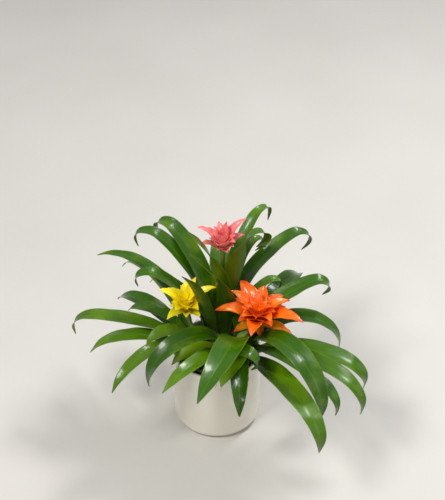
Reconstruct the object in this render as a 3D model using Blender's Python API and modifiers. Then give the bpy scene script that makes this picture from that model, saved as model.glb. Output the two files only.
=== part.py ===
"""Potted bromeliads: three guzmania plants with orange, yellow and pink flower heads in one round
glazed pot. Metres, +Z up, origin at the centre of the pot's flat base, -Y is the front."""

import math
from collections import namedtuple

import bmesh
import bpy
from mathutils import Matrix, Vector
from mathutils.bvhtree import BVHTree

# Driving dimensions
POT_RADIUS = 0.075
POT_HEIGHT = 0.150
POT_WALL = 0.004
POT_FLOOR = 0.006
POT_FOOT_ROUND = 0.014
POT_INNER_ROUND = 0.010
TURN_STEPS = 40

SOIL_TOP = 0.130
MOSS_TOP = 0.143
GAP = 0.0003

CROWN_RADIUS = 0.016
CROWN_BOTTOM = 0.105
CROWN_SHOULDER = 0.152
CROWN_TOP = 0.180
CROWN_TOP_RADIUS = 0.0105
STALK_TAPER = 0.030
SCAPE_RADIUS = 0.0042
STALK_TOP_GAP = 0.0006
STALK_END = 0.004
STALK_STEP = 0.007
STEM_SIDES = 12

LEAF_THICKNESS = 0.0012
LEAF_ROWS = 14
LEAF_BASE_SHARE = 0.34
LEAF_WIDEST = 0.40
LEAF_CHANNEL = 0.14
LEAF_TIP_WIDTH = 0.0015
BRACT_THICKNESS = 0.0012
BRACT_STATIONS = (0.12, 0.28, 0.45, 0.62, 0.78, 0.9, 1.0)
BRACT_WIDEST = 0.45
HUB_HEIGHT = 0.0078
HUB_BAND = 0.0026

# Leaf bases sit in five tiers, from the outside of the crown: (distance from its axis, height)
TIERS = ((0.0184, 0.146), (0.0178, 0.155), (0.0166, 0.164), (0.0150, 0.173), (0.0130, 0.182))

Plant = namedtuple("Plant", "crown head_axis head_base")
PLANTS = {
    "pink": Plant((0.005, 0.038), (0.010, 0.040), 0.333),
    "orange": Plant((0.037, -0.012), (0.070, -0.020), 0.222),
    "yellow": Plant((-0.040, 0.002), (-0.050, 0.000), 0.234),
}

# The ways a strap leaf grows: its angles above level, in degrees, at five even stations from base to tip
HABITS = {
    "blade": (85, 80, 75, 60, 50),
    "arch": (75, 75, 50, 25, -120),
    "hook": (80, 80, 75, 30, -180),
    "crest": (70, 60, 35, 10, -150),
    "lean": (60, 45, 20, 0, -30),
    "sweep": (55, 35, 5, -20, -60),
    "shelf": (50, 20, 5, -20, -110),
    "spill": (60, 40, 0, -45, -100),
}

# A leaf leaves its crown towards `azimuth`, in degrees from +X, and veers by `turn` on its way to the tip.
# `twist` rolls its blade about its length, and `lift` raises it towards its base.
# Each plant's leaves run in the order in which they are set out, so that a later one gives way.
Leaf = namedtuple("Leaf", "plant habit tier azimuth turn length width twist lift", defaults=((0, 0), 0))
LEAVES = (
    # Pink plant: tall arches to the left, the front blades, the arches to the right, the back
    Leaf("pink", "arch", 1, 150, 15, 0.28, 0.030),
    Leaf("pink", "arch", 2, 135, 15, 0.26, 0.034),
    Leaf("pink", "blade", 4, 270, -105, 0.24, 0.036),
    Leaf("pink", "blade", 0, 240, 0, 0.26, 0.028),
    Leaf("pink", "hook", 3, 0, 30, 0.26, 0.040, (0, 40, 70, 30, 0)),
    Leaf("pink", "arch", 4, 60, -15, 0.26, 0.022),
    Leaf("pink", "hook", 2, 45, -15, 0.22, 0.020),
    Leaf("pink", "crest", 1, 45, -30, 0.28, 0.030),
    Leaf("pink", "arch", 0, 15, 0, 0.17, 0.022),
    Leaf("pink", "arch", 0, 180, 0, 0.23, 0.030),
    Leaf("pink", "blade", 1, 315, -120, 0.26, 0.032),
    Leaf("pink", "sweep", 0, 90, 0, 0.24, 0.034),
    Leaf("pink", "sweep", 0, 120, 0, 0.23, 0.032),
    # Yellow plant: low arches to the left, then the back
    Leaf("yellow", "sweep", 0, 195, -15, 0.19, 0.028),
    Leaf("yellow", "sweep", 0, 225, 0, 0.20, 0.026),
    Leaf("yellow", "shelf", 1, 180, -15, 0.24, 0.028),
    Leaf("yellow", "sweep", 2, 150, -15, 0.18, 0.032),
    Leaf("yellow", "sweep", 3, 165, -15, 0.13, 0.026),
    Leaf("yellow", "lean", 3, 120, 45, 0.24, 0.024),
    Leaf("yellow", "sweep", 2, 120, 15, 0.24, 0.024),
    Leaf("yellow", "sweep", 1, 105, 30, 0.18, 0.020),
    Leaf("yellow", "sweep", 4, 210, 0, 0.09, 0.028),
    # Orange plant: the wide front blade, the left arch, behind the head, the fan to the right, the front
    Leaf("orange", "lean", 4, -90, -30, 0.28, 0.044),
    Leaf("orange", "spill", 4, 210, -15, 0.24, 0.036),
    Leaf("orange", "blade", 4, 90, 0, 0.10, 0.026),
    Leaf("orange", "sweep", 2, 45, 30, 0.22, 0.036),
    Leaf("orange", "crest", 1, 30, -30, 0.22, 0.034),
    Leaf("orange", "spill", 2, 15, -30, 0.23, 0.032),
    Leaf("orange", "shelf", 1, -15, -15, 0.26, 0.036),
    Leaf("orange", "shelf", 0, -30, -15, 0.29, 0.030),
    Leaf("orange", "shelf", 2, -45, 0, 0.26, 0.026),
    Leaf("orange", "spill", 3, -45, 0, 0.29, 0.040),
    Leaf("orange", "shelf", 1, -60, 0, 0.30, 0.038),
    Leaf("orange", "lean", 4, -75, -30, 0.16, 0.040),
    Leaf("orange", "crest", 4, -135, 135, 0.21, 0.032),
    Leaf("orange", "lean", 0, -120, -15, 0.22, 0.030),
    Leaf("orange", "sweep", 0, -90, 0, 0.18, 0.030),
    Leaf("orange", "sweep", 0, -165, 0, 0.12, 0.030),
)
# A leaf that would touch what already stands gives way: it is turned about its crown, raised, made to
# veer or moved to another tier, by the least that clears it. Turns, raises and veers are in degrees.
TURN_STEP = 3.0
TURN_LIMIT = 18.0
RAISE_STEP = 5.0
RAISE_LIMIT = 10.0
RAISE_SHARES = (1.0, 1.0, 0.7, 0.3, 0.0)
STEEPEST = 89
VEER_STEP = 8.0
VEER_LIMIT = 16.0
TIER_LIMIT = 2
TIER_COST = 3.0
EDGE_ROOM = 1.01

# A whorl's bracts stand evenly round the flower head's axis, the first at heading `first` in degrees from
# +X, and one for each of its `lengths`. Slopes above level are those at a bract's base, middle and tip.
Whorl = namedtuple("Whorl", "first lengths width slopes")
Bract = namedtuple("Bract", "heading length width slopes")
# Whorls run from the bottom of the head to its top, and each stands in the gaps of the one below it.
HEADS = {
    "orange": (
        Whorl(-30, (0.060, 0.050, 0.045), 0.020, (25, 5, -15)),
        Whorl(-30, (0.090, 0.060, 0.080, 0.080, 0.075), 0.028, (50, 25, -15)),
        Whorl(6, (0.060, 0.055, 0.065, 0.045, 0.055), 0.022, (58, 38, -10)),
        Whorl(-30, (0.035, 0.035, 0.035), 0.014, (72, 55, 10)),
    ),
    "yellow": (
        Whorl(-45, (0.030, 0.040, 0.040, 0.045), 0.018, (40, 15, -30)),
        Whorl(20, (0.060, 0.045, 0.055, 0.035, 0.035), 0.018, (55, 35, -15)),
        Whorl(60, (0.045, 0.045, 0.025), 0.015, (70, 55, 20)),
    ),
    "pink": (
        Whorl(20, (0.045, 0.040, 0.045, 0.025), 0.016, (55, 40, -30)),
        Whorl(30, (0.060, 0.040, 0.055, 0.025, 0.035), 0.016, (65, 50, 5)),
        Whorl(60, (0.035, 0.035, 0.025), 0.014, (82, 76, 62)),
    ),
}
WHORL_NAMES = ("lower", "outer", "middle", "inner")
HUB_RADII = {"lower": 0.0085, "outer": 0.0080, "middle": 0.0068, "inner": 0.0052}

Finish = namedtuple("Finish", "color roughness")
FINISHES = {
    "pot": Finish((0.80, 0.74, 0.62), 0.25),
    "soil": Finish((0.035, 0.024, 0.016), 0.95),
    "moss": Finish((0.22, 0.19, 0.14), 0.95),
    "stem": Finish((0.20, 0.26, 0.06), 0.50),
    "leaf": Finish((0.055, 0.200, 0.010), 0.30),
    "orange": Finish((0.85, 0.120, 0.008), 0.30),
    "yellow": Finish((0.90, 0.680, 0.010), 0.35),
    "pink": Finish((0.85, 0.140, 0.110), 0.40),
}


def clear_scene():
    """Remove whatever the scene holds, so that each run starts from nothing."""
    for obj in list(bpy.data.objects):
        bpy.data.objects.remove(obj, do_unlink=True)
    for collection in list(bpy.data.collections):
        bpy.data.collections.remove(collection)


def new_collection(name):
    """A collection of this name under the scene's own."""
    collection = bpy.data.collections.new(name)
    bpy.context.scene.collection.children.link(collection)
    return collection


def material(name):
    """The named finish as a Principled material, made once."""
    found = bpy.data.materials.get(name)
    if found:
        return found
    finish = FINISHES[name]
    made = bpy.data.materials.new(name)
    made.use_nodes = True
    shader = made.node_tree.nodes["Principled BSDF"]
    shader.inputs["Base Color"].default_value = (*finish.color, 1.0)
    shader.inputs["Roughness"].default_value = finish.roughness
    shader.inputs["Metallic"].default_value = 0.0
    return made


def add_object(name, data, finish, collection, parent=None):
    """Link a mesh or a curve as a named object with one material."""
    obj = bpy.data.objects.new(name, data)
    data.materials.append(material(finish))
    collection.objects.link(obj)
    obj.parent = parent
    return obj


def mesh_from(name, bm):
    """Write a bmesh to a new smooth-shaded mesh."""
    mesh = bpy.data.meshes.new(name)
    bm.to_mesh(mesh)
    bm.free()
    mesh.shade_smooth()
    mesh.set_sharp_from_angle(angle=math.radians(40))
    return mesh


# Turned pieces


def arc(center, radius, start, end, steps):
    """Points of (distance from the axis, height) along a round stretch, angles in degrees."""
    angles = [math.radians(start + (end - start) * k / steps) for k in range(steps + 1)]
    return [(center[0] + radius * math.cos(a), center[1] + radius * math.sin(a)) for a in angles]


def turned(name, profile, finish, collection):
    """Spin a profile that runs from the axis on top, down the outer side, to the axis below."""
    bm = bmesh.new()
    verts = [bm.verts.new((x, 0.0, z)) for x, z in profile]
    for a, b in zip(verts, verts[1:]):
        bm.edges.new((a, b))
    obj = add_object(name, mesh_from(name, bm), finish, collection)
    screw = obj.modifiers.new("Turn", "SCREW")
    screw.steps = screw.render_steps = TURN_STEPS
    screw.use_merge_vertices = True
    screw.merge_threshold = 0.00001
    screw.use_smooth_shade = True
    return obj


def make_pot(collection):
    """A plain cylinder with a rounded foot, a thin wall and a rounded lip."""
    inner = POT_RADIUS - POT_WALL
    lip = POT_WALL / 2
    profile = [(0.0, POT_FLOOR)]
    profile += arc((inner - POT_INNER_ROUND, POT_FLOOR + POT_INNER_ROUND), POT_INNER_ROUND, -90, 0, 4)
    profile += arc((POT_RADIUS - lip, POT_HEIGHT - lip), lip, 180, 0, 6)
    profile += arc((POT_RADIUS - POT_FOOT_ROUND, POT_FOOT_ROUND), POT_FOOT_ROUND, 0, -90, 7)
    profile += [(0.0, 0.0)]
    return turned("pot", profile, "pot", collection)


def make_filling(name, finish, bottom, top, bottom_round, collection):
    """A disc that fills the pot between two heights, clear of its wall."""
    radius = POT_RADIUS - POT_WALL - GAP
    edge = 0.003
    profile = [(0.0, top)] + arc((radius - edge, top - edge), edge, 90, 0, 2)
    profile += arc((radius - bottom_round, bottom + bottom_round), bottom_round, 0, -90, 4)
    profile += [(0.0, bottom)]
    return turned(name, profile, finish, collection)


def cut_planting_holes(filling, bottom, cutters):
    """Cut a round hole for each plant's crown, from `bottom` up through the top."""
    top = POT_HEIGHT + 0.01
    for name, plant in PLANTS.items():
        bm = bmesh.new()
        radius = CROWN_RADIUS + GAP
        place = Matrix.Translation((*plant.crown, (bottom + top) / 2))
        bmesh.ops.create_cone(bm, cap_ends=True, segments=24, radius1=radius, radius2=radius,
                              depth=top - bottom, matrix=place)
        cutter = add_object(f"{filling.name}_{name}_hole", mesh_from("hole", bm), "soil", cutters)
        cutter.hide_render = True
        cutter.display_type = "WIRE"
        cut = filling.modifiers.new(f"{name} hole", "BOOLEAN")
        cut.operation = "DIFFERENCE"
        cut.object = cutter


# Stems


def make_stem(name, plant, collection, parent):
    """The leafy crown and the bare stalk that carries the flower head, as one tapering curve."""
    x, y = plant.crown
    head_x, head_y = plant.head_axis
    top = plant.head_base - STALK_TOP_GAP
    points = [(x, y, CROWN_BOTTOM, CROWN_RADIUS), (x, y, CROWN_SHOULDER, CROWN_RADIUS)]
    steps = round((top - CROWN_TOP) / STALK_STEP)
    for k in range(steps + 1):
        rise = (top - STALK_END - CROWN_TOP) * k / steps
        lean = ease(k / steps)
        thick = (CROWN_TOP_RADIUS - SCAPE_RADIUS) * (1 - min(rise / STALK_TAPER, 1)) ** 2
        across, back = x + (head_x - x) * lean, y + (head_y - y) * lean
        points.append((across, back, CROWN_TOP + rise, SCAPE_RADIUS + thick))
    points.append((head_x, head_y, top, SCAPE_RADIUS))
    curve = bpy.data.curves.new(name, "CURVE")
    curve.dimensions = "3D"
    curve.bevel_depth = 1.0
    curve.bevel_resolution = (STEM_SIDES - 4) // 2
    curve.use_fill_caps = True
    spline = curve.splines.new("POLY")
    spline.points.add(len(points) - 1)
    for point, (px, py, pz, radius) in zip(spline.points, points):
        point.co = (px, py, pz, 1.0)
        point.radius = radius
    return add_object(name, curve, "stem", collection, parent)


# Blades


def between(values, share):
    """Smooth value at `share` of the way through evenly spaced values, which it passes through."""
    last = len(values) - 1
    place = min(max(share, 0.0), 1.0) * last
    k = min(int(place), last - 1)
    t = place - k
    a, b = values[max(k - 1, 0)], values[k]
    c, d = values[k + 1], values[min(k + 2, last)]
    bend = (2 * a - 5 * b + 4 * c - d) * t * t + (3 * b - a - 3 * c + d) * t ** 3
    return 0.5 * (2 * b + (c - a) * t + bend)


def ease(share):
    """0 to 1 with level ends."""
    share = min(max(share, 0.0), 1.0)
    return share * share * (3 - 2 * share)


def direction(heading, slope):
    """Unit vector towards a heading and a slope, both in radians."""
    return Vector((math.cos(slope) * math.cos(heading), math.cos(slope) * math.sin(heading), math.sin(slope)))


def blade_path(start, turn, slopes, length, twist, stations):
    """Yield (point, side, up) at each station of a blade that sets off along +X and veers left by `turn`."""
    steps = 64
    point = Vector(start)
    reached = 0
    for station in stations:
        target = round(station * steps)
        for k in range(reached, target):
            share = (k + 0.5) / steps
            slope = math.radians(between(slopes, share))
            point = point + direction(math.radians(turn * share), slope) * (length / steps)
        reached = target
        heading = math.radians(turn * station)
        along = direction(heading, math.radians(between(slopes, station)))
        level = Vector((math.sin(heading), -math.cos(heading), 0.0))
        roll = math.radians(between(twist, station))
        side = level * math.cos(roll) + level.cross(along) * math.sin(roll)
        yield point.copy(), side, side.cross(along)


def blade_width(share, width, base_share, widest):
    """Width at `share` of the length: narrow at the base, full at `widest`, rounded off to a point."""
    if share < widest:
        return width * (base_share + (1 - base_share) * ease(share / widest))
    taper = (share - widest) / (1 - widest)
    return max(width * (1 - taper ** 2.6) ** 0.8, LEAF_TIP_WIDTH)


def leaf_slopes(leaf):
    """A leaf's slopes: those of its habit, raised towards the base by its lift."""
    slopes = HABITS[leaf.habit]
    return [min(slope + leaf.lift * share, STEEPEST) for slope, share in zip(slopes, RAISE_SHARES)]


def leaf_rows(leaf):
    """Each row of a strap leaf as (middle, half its width, its rise above the middle, its normal)."""
    radius, height = TIERS[leaf.tier]
    stations = [k / LEAF_ROWS for k in range(LEAF_ROWS + 1)]
    path = blade_path((radius, 0, 0), leaf.turn, leaf_slopes(leaf), leaf.length, leaf.twist, stations)
    rows = []
    for share, (point, side, up) in zip(stations, path):
        width = blade_width(share, leaf.width, LEAF_BASE_SHARE, LEAF_WIDEST)
        rows.append((point + Vector((0, 0, height)), side * width / 2, up * LEAF_CHANNEL * width, up))
    return rows


def make_leaf(name, leaf, collection, parent):
    """A strap leaf: a grid bent along its path, folded into a shallow channel and given a thickness."""
    rows = leaf_rows(leaf)
    bm = bmesh.new()
    bmesh.ops.create_grid(bm, x_segments=2, y_segments=LEAF_ROWS, size=1.0)
    for vert in bm.verts:
        across = vert.co.x
        middle, half, rise, _ = rows[round((vert.co.y + 1) / 2 * LEAF_ROWS)]
        vert.co = middle + half * across + rise * (abs(across) - 0.5)
    obj = add_object(name, mesh_from(name, bm), "leaf", collection, parent)
    obj.rotation_euler.z = math.radians(leaf.azimuth)
    skin = obj.modifiers.new("Thickness", "SOLIDIFY")
    skin.thickness = LEAF_THICKNESS
    skin.offset = 0.0
    return obj


def leaf_shell(leaf):
    """A leaf's closed outline in the world, with a little room round it, as (points, faces)."""
    place = Matrix.Translation((*PLANTS[leaf.plant].crown, 0))
    place = place @ Matrix.Rotation(math.radians(leaf.azimuth), 4, "Z")
    room = LEAF_THICKNESS / 2 + GAP
    points = []
    for middle, half, rise, up in leaf_rows(leaf):
        low = middle - rise / 2
        left = middle - half * EDGE_ROOM + rise / 2
        right = middle + half * EDGE_ROOM + rise / 2
        points += [place @ (p + up * room * k) for p, k in
                   ((left, 1), (low, 1), (right, 1), (right, -1), (low, -1), (left, -1))]
    ring = 6
    faces = []
    for row in range(LEAF_ROWS):
        first = row * ring
        faces += [(first + k, first + (k + 1) % ring, first + ring + (k + 1) % ring, first + ring + k)
                  for k in range(ring)]
    last = LEAF_ROWS * ring
    faces += [(0, 5, 4, 1), (1, 4, 3, 2)]
    faces += [(last, last + 1, last + 4, last + 5), (last + 1, last + 2, last + 3, last + 4)]
    return points, faces


def nudges():
    """Small changes to try on a leaf, as (turn, raise, veer, tiers), the smallest first."""
    turns = round(TURN_LIMIT / TURN_STEP)
    raises = round(RAISE_LIMIT / RAISE_STEP)
    veers = round(VEER_LIMIT / VEER_STEP)
    tries = [(turn * TURN_STEP, lift * RAISE_STEP, veer * VEER_STEP, tier)
             for turn in range(-turns, turns + 1) for lift in range(-raises, raises + 1)
             for veer in range(-veers, veers + 1) for tier in range(-TIER_LIMIT, TIER_LIMIT + 1)]
    return sorted(tries, key=lambda change: (abs(change[0]) + abs(change[1]) + abs(change[2]) / 2
                                             + TIER_COST * abs(change[3]), change))


def set_out_leaves(standing):
    """Give each leaf the least change that clears the standing pieces and the leaves before it."""
    points, faces = list(standing[0]), list(standing[1])
    changes = nudges()
    settled = []
    for leaf in LEAVES:
        blocked = BVHTree.FromPolygons(points, faces)
        for turn, lift, veer, tiers in changes:
            tier = leaf.tier + tiers
            if not 0 <= tier < len(TIERS):
                continue
            tried = leaf._replace(azimuth=leaf.azimuth + turn, turn=leaf.turn + veer, lift=lift, tier=tier)
            shell = leaf_shell(tried)
            if not blocked.overlap(BVHTree.FromPolygons(*shell)):
                break
        settled.append(tried)
        count = len(points)
        points += shell[0]
        faces += [tuple(k + count for k in face) for face in shell[1]]
    return settled


def outlines(collection):
    """The points and faces of every piece in a collection, in the world."""
    bpy.context.view_layer.update()
    graph = bpy.context.evaluated_depsgraph_get()
    points, faces = [], []
    for obj in collection.objects:
        if obj.type == "EMPTY":
            continue
        mesh = obj.evaluated_get(graph).to_mesh()
        count = len(points)
        points += [obj.matrix_world @ vert.co for vert in mesh.vertices]
        faces += [tuple(k + count for k in face.vertices) for face in mesh.polygons]
    return points, faces


# Flower heads


def hub(bm, bracts, radius):
    """A low prism with one side face to each bract, and a plain core above it."""
    count = len(bracts)
    corners = [math.radians(bract.heading) + math.pi / count for bract in bracts]
    place = Matrix.Translation((0, 0, HUB_BAND / 2))
    bmesh.ops.create_cone(bm, cap_ends=True, segments=count, radius1=radius, radius2=radius,
                          depth=HUB_BAND, matrix=place)
    for vert in bm.verts:
        corner = round(math.atan2(vert.co.y, vert.co.x) / (2 * math.pi) * count) % count
        vert.co.x = radius * math.cos(corners[corner])
        vert.co.y = radius * math.sin(corners[corner])
    band = [face for face in bm.faces if abs(face.calc_center_median().z - HUB_BAND / 2) < GAP]
    cap = max(bm.faces, key=lambda face: face.calc_center_median().z)
    cap = bmesh.ops.extrude_discrete_faces(bm, faces=[cap])["faces"][0]
    for vert in cap.verts:
        vert.co.z = HUB_HEIGHT
    return band


def grow_bract(bm, face, bract):
    """Extrude a hub's side face along the bract's path, a station at a time."""
    turn = Matrix.Rotation(math.radians(bract.heading), 3, "Z")
    start = face.calc_center_median()
    reach = math.hypot(start.x, start.y)
    path = blade_path((reach, 0, start.z), 0, bract.slopes, bract.length, (0, 0), (0.0,) + BRACT_STATIONS)
    stations = [(turn @ point, turn @ side, turn @ up) for point, side, up in path]
    origin, side, _ = stations[0]
    signs = [((vert.co - origin).dot(side) > 0, vert.co.z > origin.z) for vert in face.verts]
    hub_width = 2 * max(abs((vert.co - origin).dot(side)) for vert in face.verts)
    for share, (point, side, up) in zip(BRACT_STATIONS, stations[1:]):
        face = bmesh.ops.extrude_discrete_faces(bm, faces=[face])["faces"][0]
        base_share = min(hub_width / bract.width, 1.0)
        width = blade_width(share, bract.width, base_share, BRACT_WIDEST)
        for vert, (right, above) in zip(face.verts, signs):
            across = width / 2 if right else -width / 2
            lift = BRACT_THICKNESS / 2 if above else -BRACT_THICKNESS / 2
            vert.co = point + side * across + up * lift


def whorl_bracts(whorl):
    """A whorl's bracts, evenly round the axis from its first heading."""
    spacing = 360 / len(whorl.lengths)
    return [Bract(whorl.first + number * spacing, length, whorl.width, whorl.slopes)
            for number, length in enumerate(whorl.lengths)]


def make_whorl(name, whorl, plant, finish, radius, base, collection, parent):
    """One whorl of bracts round the flower head's axis."""
    bracts = whorl_bracts(whorl)
    bm = bmesh.new()
    band = hub(bm, bracts, radius)
    for bract in bracts:
        towards = Vector((math.cos(math.radians(bract.heading)), math.sin(math.radians(bract.heading)), 0))
        face = max(band, key=lambda side: side.calc_center_median().dot(towards))
        band.remove(face)
        grow_bract(bm, face, bract)
    bmesh.ops.recalc_face_normals(bm, faces=bm.faces)
    obj = add_object(name, mesh_from(name, bm), finish, collection, parent)
    obj.location = (plant.head_axis[0] - plant.crown[0], plant.head_axis[1] - plant.crown[1], base)
    return obj


def make_plant(name, plant, collection):
    """A plant's stem and flower head, parented to an empty on its crown."""
    root = bpy.data.objects.new(f"{name}_plant", None)
    root.location = (*plant.crown, 0.0)
    collection.objects.link(root)
    stem = make_stem(f"{name}_stem", plant, collection, root)
    stem.location = (-plant.crown[0], -plant.crown[1], 0.0)
    for level, (place, whorl) in enumerate(zip(WHORL_NAMES, HEADS[name])):
        base = plant.head_base + level * (HUB_HEIGHT + GAP)
        make_whorl(f"{name}_bracts_{place}", whorl, plant, name, HUB_RADII[place], base, collection, root)
    return root


def main():
    """Build the pot, its filling and the three plants."""
    clear_scene()
    collection = new_collection("potted_bromeliads")
    cutters = new_collection("cutters")
    make_pot(collection)
    soil = make_filling("soil", "soil", POT_FLOOR + GAP, SOIL_TOP, POT_INNER_ROUND + GAP, collection)
    cut_planting_holes(soil, CROWN_BOTTOM - GAP, cutters)
    moss = make_filling("moss", "moss", SOIL_TOP + GAP, MOSS_TOP, 0.002, collection)
    cut_planting_holes(moss, SOIL_TOP - 0.005, cutters)
    roots = {name: make_plant(name, plant, collection) for name, plant in PLANTS.items()}
    numbers = dict.fromkeys(PLANTS, 0)
    for leaf in set_out_leaves(outlines(collection)):
        numbers[leaf.plant] += 1
        make_leaf(f"{leaf.plant}_leaf_{numbers[leaf.plant]:02d}", leaf, collection, roots[leaf.plant])


main()
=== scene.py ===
"""Three guzmania bromeliads in one glazed pot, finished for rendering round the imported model.

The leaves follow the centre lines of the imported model's blades, the flower heads stand on its stalks, and
the pot, the potting mix and the moss keep its sizes. Metres, +Z up, -Y is the front.
"""

import logging
import math
import random
from dataclasses import dataclass, field
from enum import Enum

import bpy
from mathutils import Matrix, Vector, noise


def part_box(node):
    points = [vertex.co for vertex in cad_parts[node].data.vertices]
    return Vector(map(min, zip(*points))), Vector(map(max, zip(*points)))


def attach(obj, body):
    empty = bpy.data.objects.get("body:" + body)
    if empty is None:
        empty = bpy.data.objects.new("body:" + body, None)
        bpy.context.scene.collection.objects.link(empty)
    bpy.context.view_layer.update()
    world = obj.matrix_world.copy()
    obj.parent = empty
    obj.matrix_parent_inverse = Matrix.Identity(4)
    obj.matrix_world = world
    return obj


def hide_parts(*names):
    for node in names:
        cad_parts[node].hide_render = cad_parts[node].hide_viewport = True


LOG = logging.getLogger("bromeliads")
BODY = "root"

Color = tuple[float, float, float]


# Small helpers


def ease(share: float) -> float:
    """0 to 1 with level ends."""
    share = min(max(share, 0.0), 1.0)
    return share * share * (3 - 2 * share)


def between(values: list, share: float):
    """Smooth value at a share of the way through evenly spaced values, which it passes through.

    Args:
        values: Numbers or vectors, at even stations.
        share: Place along them, from 0 to 1.

    Returns:
        A number or a vector.
    """
    last = len(values) - 1
    place = min(max(share, 0.0), 1.0) * last
    k = min(int(place), last - 1)
    t = place - k
    a, b = values[max(k - 1, 0)], values[k]
    c, d = values[k + 1], values[min(k + 2, last)]
    square = (a * 2 - b * 5 + c * 4 - d) * (t * t)
    cube = (b * 3 - a - c * 3 + d) * (t ** 3)
    return (b * 2 + (c - a) * t + square + cube) * 0.5


def deselect() -> None:
    """Leave edit mode and clear the selection, so that the next operator acts on its own piece only."""
    if bpy.context.object and bpy.context.object.mode != "OBJECT":
        bpy.ops.object.mode_set(mode="OBJECT")
    bpy.ops.object.select_all(action="DESELECT")


def take(obj: bpy.types.Object) -> None:
    """Make one object the selected and active one."""
    deselect()
    obj.select_set(True)
    bpy.context.view_layer.objects.active = obj


def named(name: str) -> bpy.types.Object:
    """Give the active object and its mesh a name, and return it."""
    obj = bpy.context.object
    obj.name = obj.data.name = name
    return obj


def apply_place(obj: bpy.types.Object) -> None:
    """Write an object's place, turn and scale into its mesh."""
    take(obj)
    bpy.ops.object.transform_apply(location=True, rotation=True, scale=True)


def apply_modifiers(obj: bpy.types.Object) -> None:
    """Apply an object's modifiers, first to last."""
    take(obj)
    for name in [modifier.name for modifier in obj.modifiers]:
        bpy.ops.object.modifier_apply(modifier=name)


def join(pieces: list[bpy.types.Object], name: str) -> bpy.types.Object:
    """Join mesh objects into one.

    Args:
        pieces: The objects, each with the same material slots.
        name: Name of the joined object.

    Returns:
        The joined object.
    """
    deselect()
    for piece in pieces:
        piece.select_set(True)
    bpy.context.view_layer.objects.active = pieces[0]
    if len(pieces) > 1:
        bpy.ops.object.join()
    return named(name)


def set_tone(obj: bpy.types.Object, tone: float) -> None:
    """Store one tone value on every point of a piece, for its finish to read."""
    attribute = obj.data.attributes.new("tone", "FLOAT", "POINT")
    attribute.data.foreach_set("value", [tone] * len(obj.data.vertices))


def merged_points(obj: bpy.types.Object) -> tuple[list[Vector], list[set[int]]]:
    """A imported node's points, each once, and the points that each is joined to.

    Args:
        obj: The node's object, whose mesh is loose triangles.

    Returns:
        The points, and for each the set of its neighbours' numbers.
    """
    index: dict[tuple[int, int, int], int] = {}
    points: list[Vector] = []
    number = []
    for vert in obj.data.vertices:
        place = obj.matrix_world @ vert.co
        key = tuple(round(value * 1e5) for value in place)
        if key not in index:
            index[key] = len(points)
            points.append(place)
        number.append(index[key])
    joined: list[set[int]] = [set() for _ in points]
    for face in obj.data.polygons:
        corners = [number[k] for k in face.vertices]
        for a, b in zip(corners, corners[1:] + corners[:1]):
            if a != b:
                joined[a].add(b)
                joined[b].add(a)
    return points, joined


def middle_of(points: list[Vector]) -> Vector:
    """Mean of some points."""
    return sum(points, Vector()) / len(points)


# Finishes


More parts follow.
